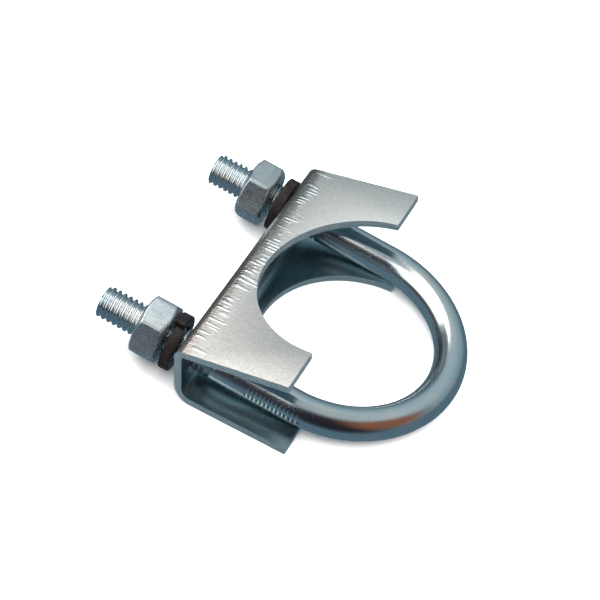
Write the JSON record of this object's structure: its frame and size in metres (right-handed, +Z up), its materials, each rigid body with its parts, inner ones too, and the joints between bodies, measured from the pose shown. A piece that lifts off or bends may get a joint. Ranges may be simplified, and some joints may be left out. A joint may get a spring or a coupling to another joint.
{
  "type": "u-bolt pipe clamp",
  "caption": "U-bolt pipe clamp: a bent threaded rod with a pressed saddle, hex nuts and split spring washers, lying loose.",
  "frame": {"origin": "centre of the footprint, on the surface that the loose clamp lies on", "axes": "+X along the two legs toward the bend, +Y across the legs toward the left leg, +Z up from the surface"},
  "size_m": [0.0799, 0.0708, 0.0219],
  "materials": {
    "plated_rod": "bright zinc plate, bluish, glossy, with fine drawing lines",
    "plated_sheet": "satin zinc plate with bright die-score streaks along the bends",
    "plated_nut": "satin zinc plate, lightly handled",
    "black_spring_steel": "black oxide, faint brown tint, low sheen"
  },
  "bodies": {
    "u_bolt": {"u_bolt": "plated_rod"},
    "saddle": {"saddle": "plated_sheet"},
    "spring_washer_left": {"spring_washer_left": "black_spring_steel"},
    "spring_washer_right": {"spring_washer_right": "black_spring_steel"},
    "nut_left": {"nut_left": "plated_nut"},
    "nut_right": {"nut_right": "plated_nut"}
  },
  "joints": [
    {"name": "saddle_slide", "type": "slide", "parent": "u_bolt", "child": "saddle", "axis": [0.9969, 0, -0.0785], "range_m": [0, 0.026]},
    {"name": "washer_left_slide", "type": "slide", "parent": "u_bolt", "child": "spring_washer_left", "axis": [0.9969, 0, -0.0785], "range_m": [-0.00917, 0.00008]},
    {"name": "nut_left_spin", "type": "hinge", "parent": "spring_washer_left", "child": "nut_left", "pos_m": [-0.02569, 0.0265, 0.00882], "axis": [0.9969, 0, -0.0785], "range_deg": [-2341, 21]},
    {"name": "washer_right_slide", "type": "slide", "parent": "u_bolt", "child": "spring_washer_right", "axis": [0.9969, 0, -0.0785], "range_m": [-0.01044, 0.00078]},
    {"name": "nut_right_spin", "type": "hinge", "parent": "spring_washer_right", "child": "nut_right", "pos_m": [-0.02584, -0.0265, 0.00884], "axis": [0.9969, 0, -0.0785], "range_deg": [-2665, 201]}
  ],
  "couplings": [
    {"joint": "nut_left_spin", "follows": "washer_left_slide", "rad_per_m": 4452.6},
    {"joint": "nut_right_spin", "follows": "washer_right_slide", "rad_per_m": 4452.6}
  ]
}
